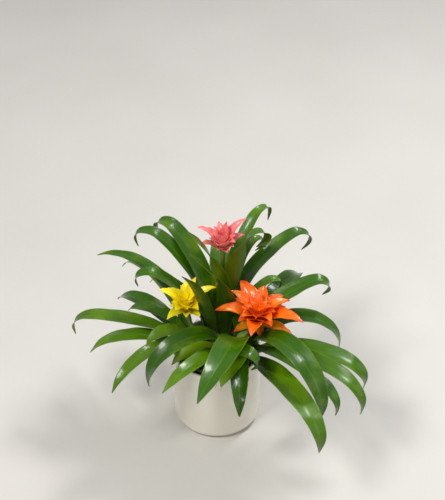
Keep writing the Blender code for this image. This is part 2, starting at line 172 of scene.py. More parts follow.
class Nodes:
    """The node tree of one material, with short calls to add and join nodes."""

    def __init__(self, name: str) -> None:
        """Start a Principled material of this name."""
        self.material = bpy.data.materials.new(name)
        self.material.use_nodes = True
        self.tree = self.material.node_tree
        self.shader = self.tree.nodes["Principled BSDF"]

    def add(self, kind: str, settings: dict | None = None, **inputs) -> bpy.types.Node:
        """Add a node.

        Args:
            kind: Node type without its ShaderNode prefix.
            settings: Properties to set on the node.
            **inputs: Socket names, with _ for a space, and a value or another node's output socket.

        Returns:
            The node.
        """
        node = self.tree.nodes.new(f"ShaderNode{kind}")
        for key, value in (settings or {}).items():
            setattr(node, key, value)
        for key, value in inputs.items():
            self.feed(node.inputs[key.replace("_", " ")], value)
        return node

    def feed(self, socket: bpy.types.NodeSocket, value) -> None:
        """Set a socket's value, or link another node's output to it."""
        if isinstance(value, bpy.types.NodeSocket):
            self.tree.links.new(value, socket)
        else:
            socket.default_value = value

    def mix(self, share, first, second, blend: str = "MIX") -> bpy.types.NodeSocket:
        """Mix two colours, each a value or a socket, by a share."""
        node = self.tree.nodes.new("ShaderNodeMix")
        node.data_type = "RGBA"
        node.blend_type = blend
        self.feed(node.inputs[0], share)
        self.feed(node.inputs[6], first if isinstance(first, bpy.types.NodeSocket) else (*first, 1.0))
        self.feed(node.inputs[7], second if isinstance(second, bpy.types.NodeSocket) else (*second, 1.0))
        return node.outputs[2]

    def ramp(self, value: bpy.types.NodeSocket, stops: list[tuple[float, Color]]) -> bpy.types.NodeSocket:
        """Colour along a ramp whose stops are (place, colour)."""
        node = self.tree.nodes.new("ShaderNodeValToRGB")
        elements = node.color_ramp.elements
        while len(elements) < len(stops):
            elements.new(0.5)
        for element, (place, color) in zip(elements, stops):
            element.position = place
            element.color = (*color, 1.0)
        self.feed(node.inputs[0], value)
        return node.outputs[0]

    def span(self, value: bpy.types.NodeSocket, low: float, high: float, to_low: float = 0.0,
             to_high: float = 1.0) -> bpy.types.NodeSocket:
        """Map a value's range low..high to another range, held at its ends."""
        node = self.add("MapRange", None, From_Min=low, From_Max=high, To_Min=to_low, To_Max=to_high)
        self.feed(node.inputs["Value"], value)
        return node.outputs["Result"]

    def cloud(self, scale: float, detail: float = 3.0, vector: bpy.types.NodeSocket | None = None,
              stretch: Color | None = None) -> bpy.types.NodeSocket:
        """Noise on object coordinates, or on a given vector, which may be stretched."""
        if vector is None:
            vector = self.add("TexCoord").outputs["Object"]
        if stretch:
            vector = self.add("Mapping", None, Vector=vector, Scale=stretch).outputs["Vector"]
        return self.add("TexNoise", None, Vector=vector, Scale=scale, Detail=detail).outputs["Fac"]

    def uv(self) -> tuple[bpy.types.NodeSocket, bpy.types.NodeSocket, bpy.types.NodeSocket]:
        """The piece's UV vector, its across part and its lengthwise part."""
        vector = self.add("TexCoord").outputs["UV"]
        split = self.add("SeparateXYZ", None, Vector=vector)
        return vector, split.outputs["X"], split.outputs["Y"]

    def tone(self) -> bpy.types.NodeSocket:
        """The tone value stored on the piece."""
        return self.add("Attribute", {"attribute_name": "tone"}).outputs["Fac"]

    def bump(self, height: bpy.types.NodeSocket, strength: float, distance: float) -> None:
        """Raise the surface by a height, in metres at full strength."""
        node = self.add("Bump", None, Height=height, Strength=strength, Distance=distance)
        self.feed(self.shader.inputs["Normal"], node.outputs["Normal"])

    def finish(self, color: bpy.types.NodeSocket, roughness: bpy.types.NodeSocket,
               **fixed: float) -> bpy.types.Material:
        """Feed colour and roughness, set the other shader values, and return the material."""
        self.feed(self.shader.inputs["Base Color"], color)
        self.feed(self.shader.inputs["Roughness"], roughness)
        for key, value in fixed.items():
            self.shader.inputs[key.replace("_", " ")].default_value = value
        return self.material


class Slot(Enum):
    """The record's material slots."""

    POT = "pot"
    SOIL = "soil"
    MOSS = "moss"
    STEM = "stem"
    LEAF = "leaf"
    ORANGE = "orange_bracts"
    YELLOW = "yellow_bracts"
    PINK = "pink_bracts"


@dataclass(frozen=True)
class GlazeFinish:
    """Cream glaze: a thin clear coat over a faintly mottled body."""

    light: Color = (0.88, 0.84, 0.74)
    deep: Color = (0.85, 0.80, 0.69)

    def make(self) -> bpy.types.Material:
        """Build the material."""
        nodes = Nodes("cream_glaze")
        color = nodes.mix(nodes.span(nodes.cloud(9.0), 0.35, 0.7), self.light, self.deep)
        specks = nodes.span(nodes.cloud(420.0, 2.0), 0.70, 0.78, 0.0, 0.25)
        color = nodes.mix(specks, color, (0.60, 0.53, 0.42))
        rough = nodes.span(nodes.cloud(30.0), 0.3, 0.7, 0.16, 0.20)
        nodes.bump(nodes.cloud(14.0, 2.0), 0.06, 0.0006)
        return nodes.finish(color, rough, Coat_Weight=0.55, Coat_Roughness=0.10)


@dataclass(frozen=True)
class EarthFinish:
    """Damp potting mix, or any loose matt stuff."""

    name: str
    dark: Color
    light: Color
    grain: float

    def make(self) -> bpy.types.Material:
        """Build the material."""
        nodes = Nodes(self.name)
        grain = nodes.cloud(self.grain, 6.0)
        color = nodes.mix(nodes.span(grain, 0.35, 0.70), self.dark, self.light)
        nodes.bump(grain, 0.8, 0.0015)
        return nodes.finish(color, nodes.span(grain, 0.3, 0.7, 0.75, 1.0), Specular_IOR_Level=0.25)


@dataclass(frozen=True)
class StrandFinish:
    """Dry moss: tan to grey strands, some nearly black."""

    tan: Color = (0.36, 0.29, 0.19)
    grey: Color = (0.22, 0.20, 0.16)
    black: Color = (0.035, 0.028, 0.02)

    def make(self) -> bpy.types.Material:
        """Build the material."""
        nodes = Nodes("moss_strand")
        color = nodes.mix(nodes.span(nodes.cloud(35.0), 0.35, 0.65), self.tan, self.grey)
        color = nodes.mix(nodes.span(nodes.tone(), 0.0, 1.0), color, self.black)
        fibre = nodes.cloud(900.0, 2.0)
        nodes.bump(fibre, 0.5, 0.0002)
        return nodes.finish(color, nodes.span(fibre, 0.3, 0.7, 0.8, 1.0), Specular_IOR_Level=0.2)


@dataclass(frozen=True)
class StemFinish:
    """Crown and stalk: pale green at the stalk, browner low in the crown."""

    green: Color = (0.16, 0.25, 0.04)
    brown: Color = (0.13, 0.09, 0.04)

    def make(self) -> bpy.types.Material:
        """Build the material."""
        nodes = Nodes("stem_green")
        split = nodes.add("SeparateXYZ", None, Vector=nodes.add("TexCoord").outputs["Object"])
        color = nodes.mix(nodes.span(split.outputs["Z"], 0.150, 0.185), self.brown, self.green)
        streak = nodes.cloud(60.0, 3.0, None, (6.0, 6.0, 0.5))
        color = nodes.mix(nodes.span(streak, 0.35, 0.7, 0.0, 0.5), color, (0.30, 0.34, 0.10))
        nodes.bump(streak, 0.3, 0.0004)
        return nodes.finish(color, nodes.span(streak, 0.3, 0.7, 0.40, 0.60))


@dataclass(frozen=True)
class LeafFinish:
    """One side of a strap leaf: fine veins along it, a paler midrib, a tone of its own for each leaf."""

    name: str
    dark: Color
    green: Color
    lime: Color
    roughness: tuple[float, float]
    coat: float

    def make(self) -> bpy.types.Material:
        """Build the material."""
        nodes = Nodes(self.name)
        vector, across, along = nodes.uv()
        veins = nodes.cloud(1.0, 4.0, vector, (70.0, 1.6, 1.0))
        fine = nodes.cloud(1.0, 2.0, vector, (240.0, 3.0, 1.0))
        patches = nodes.cloud(22.0, 3.0)
        tone = nodes.tone()
        color = nodes.ramp(tone, [(0.0, self.dark), (0.5, self.green), (1.0, self.lime)])
        color = nodes.mix(nodes.span(veins, 0.35, 0.70, 0.0, 0.55), color, self.dark)
        color = nodes.mix(nodes.span(fine, 0.55, 0.75, 0.0, 0.30), color, self.lime)
        color = nodes.mix(nodes.span(patches, 0.50, 0.75, 0.0, 0.35), color, self.lime)
        rib = nodes.ramp(across, [(0.0, (0.30, 0.30, 0.30)), (0.05, (0, 0, 0)), (0.46, (0, 0, 0)),
                                  (0.50, (0.16, 0.16, 0.16)), (0.54, (0, 0, 0)), (0.95, (0, 0, 0)),
                                  (1.0, (0.30, 0.30, 0.30))])
        color = nodes.mix(rib, color, self.lime)
        base = nodes.span(along, 0.02, 0.16, 0.35, 0.0)
        color = nodes.mix(base, color, (0.10, 0.18, 0.02))
        tip = nodes.span(along, 0.975, 0.998, 0.0, 0.75)
        color = nodes.mix(tip, color, (0.16, 0.10, 0.04))
        nodes.bump(veins, 0.50, 0.0008)
        low, high = self.roughness
        return nodes.finish(color, nodes.span(patches, 0.3, 0.7, low, high), Coat_Weight=self.coat,
                            Coat_Roughness=0.12, Specular_IOR_Level=0.38)


@dataclass(frozen=True)
class BractFinish:
    """Waxy bract: golden base, full colour along the body, a tip of another colour."""

    name: str
    base: Color
    body: Color
    deep: Color
    tip: Color
    low: Color

    def make(self) -> bpy.types.Material:
        """Build the material. A tone near 0 is full colour, and near 1 is the low bracts' colour."""
        nodes = Nodes(self.name)
        vector, across, along = nodes.uv()
        veins = nodes.cloud(1.0, 3.0, vector, (46.0, 1.4, 1.0))
        patches = nodes.cloud(45.0, 3.0)
        color = nodes.ramp(along, [(0.0, self.base), (0.30, self.body), (0.86, self.body),
                                   (0.97, self.deep), (1.0, self.tip)])
        color = nodes.mix(nodes.span(veins, 0.40, 0.70, 0.0, 0.60), color, self.deep)
        color = nodes.mix(nodes.span(patches, 0.50, 0.72, 0.0, 0.45), color, self.base)
        edge = nodes.ramp(across, [(0.0, (0.7, 0.7, 0.7)), (0.10, (0, 0, 0)), (0.90, (0, 0, 0)),
                                   (1.0, (0.7, 0.7, 0.7))])
        color = nodes.mix(edge, color, self.deep)
        green = nodes.mix(nodes.span(along, 0.55, 0.95), self.low, self.tip)
        color = nodes.mix(nodes.span(nodes.tone(), 0.0, 1.0), color, green)
        nodes.bump(veins, 0.30, 0.0005)
        return nodes.finish(color, nodes.span(patches, 0.3, 0.7, 0.26, 0.38), Coat_Weight=0.35,
                            Coat_Roughness=0.15)


@dataclass
class Palette:
    """Every finish, made once."""

    glaze: bpy.types.Material = field(init=False)
    soil: bpy.types.Material = field(init=False)
    peat: bpy.types.Material = field(init=False)
    strand: bpy.types.Material = field(init=False)
    stem: bpy.types.Material = field(init=False)
    leaf_upper: bpy.types.Material = field(init=False)
    leaf_under: bpy.types.Material = field(init=False)
    bracts: dict[Slot, bpy.types.Material] = field(init=False)

    def __post_init__(self) -> None:
        """Build the materials."""
        self.glaze = GlazeFinish().make()
        self.soil = EarthFinish("potting_mix", (0.012, 0.008, 0.005), (0.06, 0.040, 0.025), 160.0).make()
        self.peat = EarthFinish("bark_and_peat", (0.010, 0.007, 0.005), (0.085, 0.060, 0.038), 240.0).make()
        self.strand = StrandFinish().make()
        self.stem = StemFinish().make()
        self.leaf_upper = LeafFinish("leaf_upper", (0.012, 0.058, 0.0005), (0.044, 0.150, 0.0005),
                                     (0.230, 0.400, 0.001), (0.18, 0.30), 0.28).make()
        self.leaf_under = LeafFinish("leaf_under", (0.026, 0.078, 0.001), (0.075, 0.170, 0.001),
                                     (0.240, 0.370, 0.004), (0.34, 0.48), 0.08).make()
        self.bracts = {
            Slot.ORANGE: BractFinish("orange_bract", (1.00, 0.46, 0.01), (0.94, 0.165, 0.002),
                                     (0.76, 0.050, 0.003), (0.34, 0.015, 0.008), (0.34, 0.40, 0.01)).make(),
            Slot.YELLOW: BractFinish("yellow_bract", (0.95, 0.62, 0.002), (1.00, 0.86, 0.003),
                                     (0.92, 0.68, 0.002), (0.50, 0.58, 0.02), (0.36, 0.45, 0.01)).make(),
            Slot.PINK: BractFinish("pink_bract", (0.96, 0.42, 0.22), (0.94, 0.270, 0.260),
                                   (0.86, 0.160, 0.180), (0.45, 0.020, 0.035), (0.26, 0.22, 0.04)).make(),
        }


def settle(piece: bpy.types.Object, nodes: list[str]) -> None:
    """Fix a finished piece to the frame.

    Args:
        piece: The piece, with its place in its mesh.
        nodes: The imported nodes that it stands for, if any.
    """
    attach(piece, BODY)
    if nodes:
        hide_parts(*nodes)
    LOG.info("%s: %d faces", piece.name, len(piece.data.polygons))


# Camera, light and floor


@dataclass
class Studio:
    """A pale floor, soft light and the camera."""

    camera_place: tuple[float, float, float] = (0.0098, -1.7316, 1.8202)
    camera_tilt: float = 50.0
    lens: float = 100.94
    floor_size: float = 12.0

    def build(self) -> None:
        """Set up the floor, the lights, the world and the camera."""
        self.add_camera()
        self.add_floor()
        self.add_light("key", (-1.0, -0.9, 2.2), (0.0, 0.0, 0.22), 0.6, 34.0, (1.0, 0.985, 0.96))
        self.add_light("window", (0.9, 0.8, 1.9), (0.0, 0.0, 0.20), 0.45, 24.0, (1.0, 1.0, 1.0))
        self.add_light("fill", (1.7, -0.9, 1.3), (0.0, 0.0, 0.20), 1.2, 6.0, (1.0, 0.99, 0.97))
        self.add_world()

    def add_camera(self) -> None:
        """Place the camera and make it the scene's."""
        data = bpy.data.cameras.new("camera")
        data.lens = self.lens
        data.sensor_width = 36.0
        data.sensor_fit = "AUTO"
        data.dof.use_dof = False
        camera = bpy.data.objects.new("camera", data)
        camera.location = self.camera_place
        camera.rotation_euler = (math.radians(self.camera_tilt), 0.0, 0.0)
        bpy.context.scene.collection.objects.link(camera)
        bpy.context.scene.camera = camera

    def add_floor(self) -> None:
        """Lay a plain pale floor."""
        deselect()
        bpy.ops.mesh.primitive_plane_add(size=self.floor_size)
        floor = named("floor")
        nodes = Nodes("pale_floor")
        shade = nodes.cloud(3.0, 2.0)
        color = nodes.mix(nodes.span(shade, 0.3, 0.7), (0.66, 0.64, 0.61), (0.70, 0.68, 0.65))
        floor.data.materials.append(nodes.finish(color, nodes.span(shade, 0.3, 0.7, 0.55, 0.65)))

    def add_light(self, name: str, place: tuple[float, float, float], target: tuple[float, float, float],
                  size: float, power: float, color: Color) -> None:
        """Hang a square soft light that faces a target."""
        data = bpy.data.lights.new(name, "AREA")
        data.size = size
        data.energy = power
        data.color = color
        light = bpy.data.objects.new(name, data)
        light.location = place
        light.rotation_euler = (Vector(target) - Vector(place)).to_track_quat("-Z", "Y").to_euler()
        bpy.context.scene.collection.objects.link(light)

    def add_world(self) -> None:
        """Light the scene evenly from all round, and show its colours as they are."""
        world = bpy.data.worlds.new("soft_room")
        world.use_nodes = True
        background = world.node_tree.nodes["Background"]
        background.inputs["Color"].default_value = (1.0, 0.99, 0.97, 1.0)
        background.inputs["Strength"].default_value = 0.36
        bpy.context.scene.world = world
        bpy.context.scene.view_settings.view_transform = "Standard"


# Pot and filling


@dataclass
class Pot:
    """The glazed cylinder pot."""

    palette: Palette
    wall: float = 0.004
    floor: float = 0.006
    foot_round: float = 0.014
    sides: int = 160

    def build(self) -> None:
        """Model the pot: a cylinder, hollowed by inset and extrude, its edges bevelled."""
        low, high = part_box("pot")
        radius = (high[0] - low[0]) / 2
        height = high[2] - low[2]
        deselect()
        bpy.ops.mesh.primitive_cylinder_add(vertices=self.sides, radius=radius, depth=height,
                                            location=(0, 0, height / 2), end_fill_type="NGON")
        pot = named("pot_glazed")
        apply_place(pot)
        bpy.ops.object.mode_set(mode="EDIT")
        bpy.ops.mesh.select_mode(type="FACE")
        self.pick_face(pot, height)
        bpy.ops.mesh.inset(thickness=self.wall, depth=0.0)
        bpy.ops.mesh.extrude_region_move(TRANSFORM_OT_translate={"value": (0, 0, self.floor - height)})
        self.bevel_ring(pot, lambda co: abs(co.z - height) < 1e-4, self.wall * 0.48, 6)
        self.bevel_ring(pot, lambda co: abs(co.z) < 1e-5, self.foot_round, 12)
        self.bevel_ring(pot, lambda co: abs(co.z - self.floor) < 1e-5, self.foot_round * 0.7, 6)
        bpy.ops.object.mode_set(mode="OBJECT")
        bpy.ops.object.shade_smooth_by_angle(angle=math.radians(35))
        pot.data.materials.append(self.palette.glaze)
        settle(pot, ["pot"])

    def pick_face(self, pot: bpy.types.Object, height: float) -> None:
        """Select the flat face at a height, in edit mode."""
        bpy.ops.mesh.select_all(action="DESELECT")
        bpy.ops.object.mode_set(mode="OBJECT")
        for face in pot.data.polygons:
            face.select = abs(face.center.z - height) < 1e-5 and abs(face.normal.z) > 0.9
        bpy.ops.object.mode_set(mode="EDIT")

    def bevel_ring(self, pot: bpy.types.Object, test, width: float, segments: int) -> None:
        """Bevel the edges whose ends both pass a test.

        Args:
            pot: The pot, in edit mode.
            test: Takes a point, and says whether it is on the ring.
            width: Width of the bevel.
            segments: Its number of strips.
        """
        bpy.ops.mesh.select_mode(type="EDGE")
        bpy.ops.mesh.select_all(action="DESELECT")
        bpy.ops.object.mode_set(mode="OBJECT")
        verts = pot.data.vertices
        for edge in pot.data.edges:
            edge.select = all(test(verts[k].co) for k in edge.vertices)
        bpy.ops.object.mode_set(mode="EDIT")
        bpy.ops.mesh.bevel(offset=width, segments=segments, affect="EDGES", profile=0.5)


@dataclass
class Filling:
    """The potting mix, its bark and the dry moss over it."""

    palette: Palette
    seed: int = 11
    rings: int = 30
    chips: int = 420
    strands: int = 230
    overhang: int = 34
    crown_room: float = 0.019
    strand_radius: float = 0.00038
    strand_step: float = 0.0032

    def build(self, crowns: list[Vector]) -> None:
        """Model the surface, the bark and the strands round the plants' crowns."""
        self.crowns = crowns
        self.random = random.Random(self.seed)
        _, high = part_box("moss")
        self.top = high[2]
        self.radius = high[0]
        _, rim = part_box("pot")
        self.rim = rim[2]
        self.rim_radius = rim[0]
        self.build_surface()
        self.build_bark()
        self.build_strands()

    def height(self, x: float, y: float) -> float:
        """Height of the uneven surface at a place."""
        rise = noise.noise(Vector((x * 70, y * 70, 3.0))) * 0.0022
        rise += noise.noise(Vector((x * 210, y * 210, 7.0))) * 0.0012
        sink = 0.006 * ease((math.hypot(x, y) / self.radius - 0.72) / 0.28)
        return self.top - 0.0015 + rise - sink

    def build_surface(self) -> None:
        """A disc of damp mix with an uneven top, closed below."""
        deselect()
        bpy.ops.mesh.primitive_cylinder_add(vertices=96, radius=self.radius, depth=0.012,
                                            location=(0, 0, self.top - 0.006), end_fill_type="NGON")
        mat = named("moss_bed")
        apply_place(mat)
        bpy.ops.object.mode_set(mode="EDIT")
        bpy.ops.mesh.select_mode(type="FACE")
        bpy.ops.mesh.select_all(action="DESELECT")
        bpy.ops.object.mode_set(mode="OBJECT")
        for face in mat.data.polygons:
            face.select = face.normal.z > 0.9
        bpy.ops.object.mode_set(mode="EDIT")
        step = self.radius / self.rings
        for _ in range(self.rings - 1):
            bpy.ops.mesh.inset(thickness=step, depth=0.0)
        bpy.ops.mesh.poke()
        bpy.ops.object.mode_set(mode="OBJECT")
        for vert in mat.data.vertices:
            if vert.co.z > self.top - 1e-4:
                vert.co.z = self.height(vert.co.x, vert.co.y)
        take(mat)
        bpy.ops.object.shade_smooth()
        mat.data.materials.append(self.palette.soil)
        settle(mat, ["moss"])

    def spot(self, reach: float = 0.95) -> tuple[float, float]:
        """A seeded place on the disc, clear of the crowns."""
        while True:
            angle = self.random.uniform(0, 2 * math.pi)
            distance = self.radius * reach * math.sqrt(self.random.random())
            x, y = distance * math.cos(angle), distance * math.sin(angle)
            if all((Vector((x, y)) - crown.xy).length > self.crown_room for crown in self.crowns):
                return x, y

    def build_bark(self) -> None:
        """Crumbs of bark and peat over the surface, one shape copied with its own turn and size."""
        deselect()
        bpy.ops.mesh.primitive_ico_sphere_add(subdivisions=1, radius=1.0)
        seed_chip = bpy.context.object
        shape = [vert.co * (1 + 0.35 * noise.noise(vert.co * 2.1)) for vert in seed_chip.data.vertices]
        corners = [tuple(face.vertices) for face in seed_chip.data.polygons]
        bpy.data.objects.remove(seed_chip, do_unlink=True)
        points, faces = [], []
        for _ in range(self.chips):
            x, y = self.spot()
            size = self.random.uniform(0.0008, 0.0030)
            turn = Matrix.Rotation(self.random.uniform(0, 6.3), 3, Vector((self.random.random(), 1, 0.3)))
            squash = Vector((1.0, self.random.uniform(0.4, 0.9), self.random.uniform(0.25, 0.6)))
            place = Vector((x, y, self.height(x, y) + size * 0.2))
            first = len(points)
            points += [place + turn @ (co * squash) * size for co in shape]
            faces += [tuple(first + k for k in face) for face in corners]
        mesh = bpy.data.meshes.new("bark_crumbs")
        mesh.from_pydata(points, [], faces)
        bark = bpy.data.objects.new("bark_crumbs", mesh)
        bpy.context.scene.collection.objects.link(bark)
        mesh.shade_smooth()
        mesh.materials.append(self.palette.peat)
        settle(bark, [])

    def strand_path(self, x: float, y: float, outward: bool) -> list[Vector]:
        """Points of one curling strand.

        Args:
            x: Where it starts.
            y: Where it starts.
            outward: Whether it sets off over the rim and hangs down outside.

        Returns:
            Its points.
        """
        heading = math.atan2(y, x) if outward else self.random.uniform(0, 2 * math.pi)
        curl = self.random.uniform(-1.0, 1.0) * (0.15 if outward else 0.35)
        step = self.strand_step
        count = self.random.randint(9, 22)
        lift = self.random.uniform(0.0005, 0.004)
        drop = self.random.uniform(0.3, 1.0)
        points = []
        z = self.height(x, y) + 0.001
        for k in range(count):
            distance = math.hypot(x, y)
            ground = self.height(x, y) if distance < self.radius else -1.0
            if distance > self.radius - 0.010 and distance < self.rim_radius + 0.001:
                ground = max(ground, self.rim + 0.0008)
            wave = lift * math.sin(k * 0.9 + curl * 7)
            if ground > 0:
                z += (ground + 0.0008 + lift * (1 + math.sin(k * 0.7)) * 0.5 - z) * 0.55
            else:
                z -= step * drop
            points.append(Vector((x, y, z + wave * 0.2)))
            curl += self.random.uniform(-0.22, 0.22)
            heading += curl
            if outward and distance < self.rim_radius:
                heading = math.atan2(y, x) + curl
            slow = step * (0.35 if distance > self.rim_radius + 0.002 else 1.0)
            ahead = math.hypot(x + slow * math.cos(heading), y + slow * math.sin(heading))
            if not outward and ahead > self.radius:
                heading += math.pi * 0.7
            x += slow * math.cos(heading)
            y += slow * math.sin(heading)
        return points

    def build_strands(self) -> None:
        """Loose curling strands, most over the surface and some over the rim."""
        groups = {"moss_strands_pale": (0.0, []), "moss_strands_dark": (0.85, [])}
        for k in range(self.strands + self.overhang):
            outward = k >= self.strands
            if outward:
                sector = self.random.choice(((150, 235), (255, 330), (20, 140)))
                angle = math.radians(self.random.uniform(*sector))
                x, y = self.radius * 0.80 * math.cos(angle), self.radius * 0.80 * math.sin(angle)
            else:
                x, y = self.spot()
            name = "moss_strands_dark" if self.random.random() < 0.35 else "moss_strands_pale"
            groups[name][1].append(self.strand_path(x, y, outward))
        for name, (tone, paths) in groups.items():
            self.weave(name, tone, paths)

    def weave(self, name: str, tone: float, paths: list[list[Vector]]) -> None:
        """Make one mesh of thin tubes along paths."""
        curve = bpy.data.curves.new(name, "CURVE")
        curve.dimensions = "3D"
        curve.bevel_depth = self.strand_radius
        curve.bevel_resolution = 0
        curve.resolution_u = 2
        curve.use_fill_caps = True
        for path in paths:
            spline = curve.splines.new("NURBS")
            spline.points.add(len(path) - 1)
            spline.order_u = 4
            spline.use_endpoint_u = True
            for k, (point, place) in enumerate(zip(spline.points, path)):
                point.co = (*place, 1.0)
                point.radius = 0.55 + 0.6 * math.sin(math.pi * (k + 0.5) / len(path))
        obj = bpy.data.objects.new(name, curve)
        bpy.context.scene.collection.objects.link(obj)
        take(obj)
        bpy.ops.object.convert(target="MESH")
        obj = named(name)
        obj.data.shade_smooth()
        set_tone(obj, tone)
        obj.data.materials.clear()
        obj.data.materials.append(self.palette.strand)
        settle(obj, [])


# Blades


@dataclass
class Row:
    """One row across a blade: its middle, the direction to its right edge, its upward normal and width."""

    middle: Vector
    side: Vector
    up: Vector
    width: float


@dataclass
class Blade:
    """A leaf or a bract: a grid laid along rows, curved across, with a wall and smooth faces."""

    rows: list[Row]
    steps: int
    across: int
    cup: float
    thickness: float
    ripple: float = 0.0
    seed: float = 0.0

    def at(self, share: float) -> Row:
        """The row at a share of the length."""
        middle = between([row.middle for row in self.rows], share)
        side = between([row.side for row in self.rows], share).normalized()
        ahead = between([row.middle for row in self.rows], min(share + 0.01, 1.0))
        behind = between([row.middle for row in self.rows], max(share - 0.01, 0.0))
        along = (ahead - behind).normalized()
        up = side.cross(along).normalized()
        return Row(middle, side, up, between([row.width for row in self.rows], share))

    def place(self, row: Row, share: float, across: float) -> Vector:
        """A point on the blade, `across` from -1 at the left edge to 1 at the right."""
        half = row.width / 2
        rise = self.cup * row.width * (abs(across) ** 1.6 - 0.4)
        wave = self.ripple * abs(across) ** 2 * noise.noise(Vector((share * 9.0, across * 1.5, self.seed)))
        return row.middle + row.side * (across * half) + row.up * (rise + wave)

    def build(self, name: str, finishes: list[bpy.types.Material], tone: float) -> bpy.types.Object:
        """Model the blade.

        Args:
            name: Its name.
            finishes: The upper side's material, and the lower side's if it has its own.
            tone: Its own tone, for the finish to read.

        Returns:
            The finished object.
        """
        deselect()
        bpy.ops.mesh.primitive_grid_add(x_subdivisions=self.across, y_subdivisions=self.steps, size=2.0,
                                        calc_uvs=True)
        obj = named(name)
        rows: dict[int, Row] = {}
        for vert in obj.data.vertices:
            across = vert.co.x
            number = round((vert.co.y + 1) / 2 * self.steps)
            share = number / self.steps
            if number not in rows:
                rows[number] = self.at(share)
            vert.co = self.place(rows[number], share, across)
        set_tone(obj, tone)
        for finish in finishes:
            obj.data.materials.append(finish)
        wall = obj.modifiers.new("wall", "SOLIDIFY")
        wall.thickness = self.thickness
        wall.offset = 0.0
        wall.material_offset = len(finishes) - 1
        smooth = obj.modifiers.new("smooth", "SUBSURF")
        smooth.levels = smooth.render_levels = 1
        apply_modifiers(obj)
        bpy.ops.object.shade_smooth()
        return obj


# Plants


@dataclass
class Stem:
    """A plant's crown and bare stalk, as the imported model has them."""

    plant: str
    palette: Palette
    sides: int = 20
    end_band: float = 0.001
    ring_gap: float = 0.0015

    def __post_init__(self) -> None:
        """Read the crown's and the flower head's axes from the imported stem."""
        self.node = f"{self.plant}_stem"
        points, _ = merged_points(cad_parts[self.node])
        self.lowest = min(point.z for point in points)
        self.top = max(point.z for point in points)
        foot = [point for point in points if point.z < self.lowest + self.end_band]
        head = [point for point in points if point.z > self.top - self.end_band]
        self.crown = middle_of(foot)
        self.head = middle_of(head)
        self.rings: list[tuple[Vector, float]] = []
        self.read_rings(points)

    def read_rings(self, points: list[Vector]) -> None:
        """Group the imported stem's points into rings, as (middle, radius) from the bottom up."""
        ordered = sorted(points, key=lambda point: point.z)
        group = [ordered[0]]
        for point in ordered[1:]:
            if point.z - group[-1].z > self.ring_gap:
                self.close_ring(group)
                group = []
            group.append(point)
        self.close_ring(group)

    def close_ring(self, group: list[Vector]) -> None:
        """Add one ring's middle and mean radius."""
        middle = middle_of(group)
        rim = [(point - middle).length for point in group if (point - middle).length > 0.001]
        if rim:
            self.rings.append((middle, sum(rim) / len(rim)))

    def build(self) -> None:
        """Model the stem: a circle extruded ring by ring, then smoothed."""
        deselect()
        bpy.ops.mesh.primitive_circle_add(vertices=self.sides, radius=1.0, fill_type="NGON")
        stem = named(f"{self.plant}_stalk")
        bpy.ops.object.mode_set(mode="EDIT")
        bpy.ops.mesh.select_mode(type="FACE")
        for _ in self.rings[1:]:
            bpy.ops.mesh.select_all(action="DESELECT")
            bpy.ops.object.mode_set(mode="OBJECT")
            cap = max(stem.data.polygons,
                      key=lambda face: face.center.z + (len(face.vertices) == self.sides))
            cap.select = True
            bpy.ops.object.mode_set(mode="EDIT")
            bpy.ops.mesh.extrude_region_move(TRANSFORM_OT_translate={"value": (0, 0, 1.0)})
        bpy.ops.object.mode_set(mode="OBJECT")
        for vert in stem.data.vertices:
            middle, radius = self.rings[round(vert.co.z)]
            vert.co = middle + Vector((vert.co.x, vert.co.y, 0)) * radius
        bpy.ops.object.mode_set(mode="EDIT")
        bpy.ops.mesh.select_all(action="SELECT")
        bpy.ops.mesh.normals_make_consistent(inside=False)
        bpy.ops.object.mode_set(mode="OBJECT")
        smooth = stem.modifiers.new("smooth", "SUBSURF")
        smooth.levels = smooth.render_levels = 1
        apply_modifiers(stem)
        bpy.ops.object.shade_smooth()
        stem.data.materials.append(self.palette.stem)
        settle(stem, [self.node])


@dataclass
class Leaf:
    """One strap leaf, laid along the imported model's blade."""

    node: str
    crown: Vector
    palette: Palette
    tone: float
    sheath_width: float = 0.024
    sheath_share: float = 0.22
    widen: float = 1.08
    base_reach: float = 0.024
    row_points: int = 6

    def rows(self) -> list[Row]:
        """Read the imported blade's rows from its base to its tip.

        Returns:
            The rows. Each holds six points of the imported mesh: two at each edge and two along the middle.
        """
        points, joined = merged_points(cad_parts[self.node])
        near = [k for k, point in enumerate(points) if (point.xy - self.crown.xy).length < self.base_reach]
        layer = sorted(near, key=lambda k: points[k].z)[:self.row_points]
        seen = set(layer)
        layers = [layer]
        while True:
            layer = sorted({n for k in layer for n in joined[k]} - seen)
            if not layer:
                break
            seen.update(layer)
            layers.append(layer)
        outward = middle_of([points[k] for k in layers[0]]) - self.crown
        side = Vector((outward.y, -outward.x, 0)).normalized()
        rows = []
        for layer in layers:
            ordered = sorted((points[k] for k in layer), key=lambda point: point.dot(side))
            left, middle, right = (middle_of(ordered[k:k + 2]) for k in (0, 2, 4))
            side = (right - left).normalized()
            centre = (left + right) / 4 + middle / 2
            rows.append(Row(centre, side, Vector((0, 0, 1)), (right - left).length))
        return rows

    def sheathed(self, rows: list[Row]) -> list[Row]:
        """Widen the blade a little, and more towards its base, where it wraps the crown."""
        shaped = []
        for number, row in enumerate(rows):
            share = number / (len(rows) - 1)
            wrap = 1 - ease(share / self.sheath_share)
            width = row.width * self.widen if share < 0.97 else row.width
            shaped.append(Row(row.middle, row.side, row.up, width + (self.sheath_width - width) * wrap))
        return shaped

    def build(self) -> None:
        """Model the leaf and fix it to the frame."""
        blade = Blade(self.sheathed(self.rows()), steps=44, across=8, cup=0.15, thickness=0.0009,
                      ripple=0.0016, seed=self.tone * 31.0)
        finishes = [self.palette.leaf_upper, self.palette.leaf_under]
        leaf = blade.build(f"{self.node}_blade", finishes, self.tone)
        settle(leaf, [self.node])


